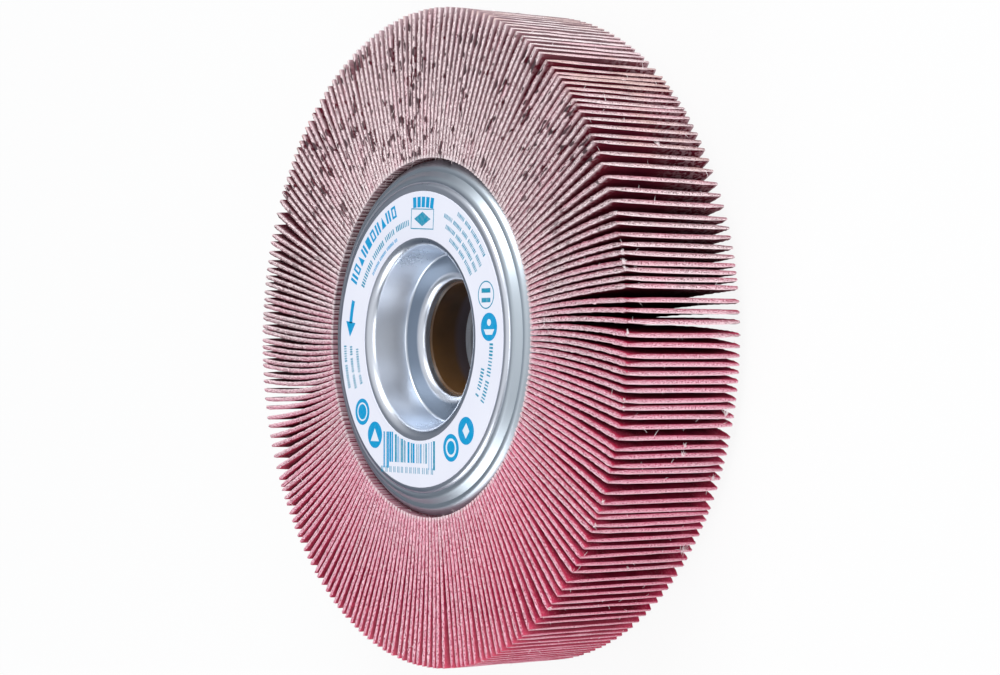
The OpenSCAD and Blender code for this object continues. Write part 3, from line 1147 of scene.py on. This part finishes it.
def label_print(strong_ink, fine_ink, clear_ink):
    """Fields of colour and plain shapes where the label is printed."""
    rng = np.random.default_rng(LABEL_SEED)
    strong = Print(lift=0.020)
    fine = Print(lift=0.015)
    clear = Print(lift=0.030)
    print_heading(strong, fine, rng)
    for line in UPPER_RIGHT_LINES:
        fine.ticks(*line, rng)
    print_round_signs(strong, fine, clear)
    for line in LOWER_LINES:
        fine.ticks(*line, rng)
    print_arrow(strong)
    print_bars(strong, fine, rng)
    strong.piece("label_print_strong", strong_ink)
    fine.piece("label_print_fine", fine_ink)
    clear.piece("label_print_clear", clear_ink)


# Stage


def floor_material():
    """Pale floor that reads as white to the camera and keeps a soft shadow."""
    level = 0.82
    lit = 0.9
    material = bpy.data.materials.new("pale_floor")
    material.use_nodes = True
    tree = material.node_tree
    tree.nodes.clear()
    output = tree.nodes.new("ShaderNodeOutputMaterial")
    diffuse = tree.nodes.new("ShaderNodeBsdfDiffuse")
    diffuse.inputs["Color"].default_value = (level, level, level, 1.0)
    glow = tree.nodes.new("ShaderNodeEmission")
    glow.inputs["Color"].default_value = (1.0, 1.0, 1.0, 1.0)
    glow.inputs["Strength"].default_value = 1.0
    paths = tree.nodes.new("ShaderNodeLightPath")
    share = tree.nodes.new("ShaderNodeMath")
    share.operation = "MULTIPLY"
    tree.links.new(paths.outputs["Is Camera Ray"], share.inputs[0])
    share.inputs[1].default_value = lit
    mixed = tree.nodes.new("ShaderNodeMixShader")
    tree.links.new(share.outputs[0], mixed.inputs[0])
    tree.links.new(diffuse.outputs[0], mixed.inputs[1])
    tree.links.new(glow.outputs[0], mixed.inputs[2])
    tree.links.new(mixed.outputs[0], output.inputs["Surface"])
    return material


def floor():
    size = 4.0
    z = -SEAT_TOP * MM
    mesh = bpy.data.meshes.new("floor")
    corners = [(-size, -size, z), (size, -size, z), (size, size, z), (-size, size, z)]
    mesh.from_pydata(corners, [], [(0, 1, 2, 3)])
    mesh.materials.append(floor_material())
    plane = bpy.data.objects.new("floor", mesh)
    bpy.context.scene.collection.objects.link(plane)


def lamp(name, place, aim, size, power):
    data = bpy.data.lights.new(name, "AREA")
    data.shape = "RECTANGLE"
    data.size, data.size_y = size
    data.energy = power
    made = bpy.data.objects.new(name, data)
    made.matrix_world = look_at(place, aim, (0, 0, 1))
    bpy.context.scene.collection.objects.link(made)


def look_at(place, aim, up):
    """Matrix of a camera or lamp at place that faces aim."""
    back = (Vector(place) - Vector(aim)).normalized()
    right = Vector(up).cross(back).normalized()
    top = back.cross(right)
    turned = Matrix((right, top, back)).transposed().to_4x4()
    return Matrix.Translation(Vector(place)) @ turned


def lights():
    """Soft studio: bright overhead and on the near side, blue-grey beyond the wheel."""
    world = bpy.data.worlds.new("studio")
    bpy.context.scene.world = world
    world.use_nodes = True
    tree = world.node_tree
    background = tree.nodes["Background"]
    way = tree.nodes.new("ShaderNodeTexCoord")
    toward = tree.nodes.new("ShaderNodeVectorMath")
    toward.operation = "DOT_PRODUCT"
    tree.links.new(way.outputs["Generated"], toward.inputs[0])
    toward.inputs[1].default_value = (0.35, -0.35, 0.87)
    share = tree.nodes.new("ShaderNodeMapRange")
    share.interpolation_type = "SMOOTHSTEP"
    tree.links.new(toward.outputs["Value"], share.inputs["Value"])
    share.inputs["From Min"].default_value = 0.0
    share.inputs["From Max"].default_value = 0.85
    mixed = tree.nodes.new("ShaderNodeMix")
    mixed.data_type = "RGBA"
    tree.links.new(share.outputs["Result"], mixed.inputs[0])
    mixed.inputs[6].default_value = (0.06, 0.08, 0.115, 1.0)
    mixed.inputs[7].default_value = (0.78, 0.79, 0.82, 1.0)
    tree.links.new(mixed.outputs[2], background.inputs["Color"])
    background.inputs["Strength"].default_value = 1.0
    lamp("key", (1.05, -0.30, 0.60), (0, 0, 0), (0.7, 0.7), 9.0)
    lamp("near", (0.0, -1.05, 0.30), (0, 0, 0), (0.9, 0.35), 3.4)
    lamp("low", (-0.85, 0.12, 0.55), (0, 0, 0), (0.7, 0.6), 4.4)


def camera():
    """The photograph's view: the wheel lies flat here, so the camera is rolled to stand it up."""
    data = bpy.data.cameras.new("camera")
    data.sensor_width = 36.0
    data.lens = 90.0
    data.clip_start = 0.01
    data.clip_end = 20.0
    made = bpy.data.objects.new("camera", data)
    place = (-0.00724, -0.47690, 0.32726)
    aim = (0.00013, -0.00272, -0.00389)
    up = (0.99992, -0.01004, 0.00788)
    made.matrix_world = look_at(place, aim, up)
    bpy.context.scene.collection.objects.link(made)
    bpy.context.scene.camera = made


bpy.context.scene.view_settings.view_transform = "Standard"

steel = steel_material()
cloth = [grit_material(), backing_material(), cut_edge_material(), fibre_material()]
for group in range(FLAP_GROUPS):
    flap_group(group, cloth)
flange_piece("front_flange", 1, steel)
flange_piece("back_flange", -1, steel)
sleeve_piece(sleeve_material())
label_piece(paper_material())
label_print(
    ink_material("ink_blue", (0.0, 0.31, 0.60), 0.04),
    ink_material("ink_fine", (0.01, 0.28, 0.44), 0.15),
    ink_material("ink_clear", (0.72, 0.80, 0.88), 0.5),
)

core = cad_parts["cast_core"]
core.data.materials.clear()
core.data.materials.append(resin_material())

floor()
lights()
camera()
